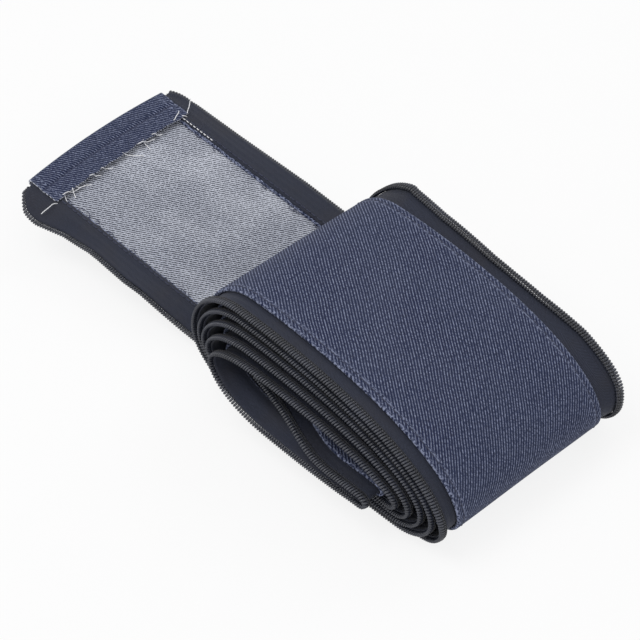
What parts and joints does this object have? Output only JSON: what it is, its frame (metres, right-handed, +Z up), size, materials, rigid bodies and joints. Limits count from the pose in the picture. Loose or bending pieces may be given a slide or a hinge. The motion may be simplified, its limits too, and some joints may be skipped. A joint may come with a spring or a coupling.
{
  "type": "zippered cable sleeve",
  "caption": "Denim cable sleeve strip with a coil zip along both edges, rolled up, its hemmed outer end lying inside face up.",
  "frame": {"origin": "middle of the footprint, on the floor that the roll rests on", "axes": "+X along the strip from the hemmed end towards the roll, +Y along the roll's axis towards the far zip edge, +Z up"},
  "size_m": [0.2756, 0.1286, 0.058],
  "materials": {
    "denim": "matte indigo twill, pale grey inside face",
    "zipper_tape": "matte black woven tape",
    "zipper_coil": "satin black nylon"
  },
  "bodies": {
    "root": {"denim_panel": "denim", "near_zipper_tape": "zipper_tape", "near_zipper_coil": "zipper_coil", "far_zipper_tape": "zipper_tape", "far_zipper_coil": "zipper_coil"}
  },
  "joints": []
}
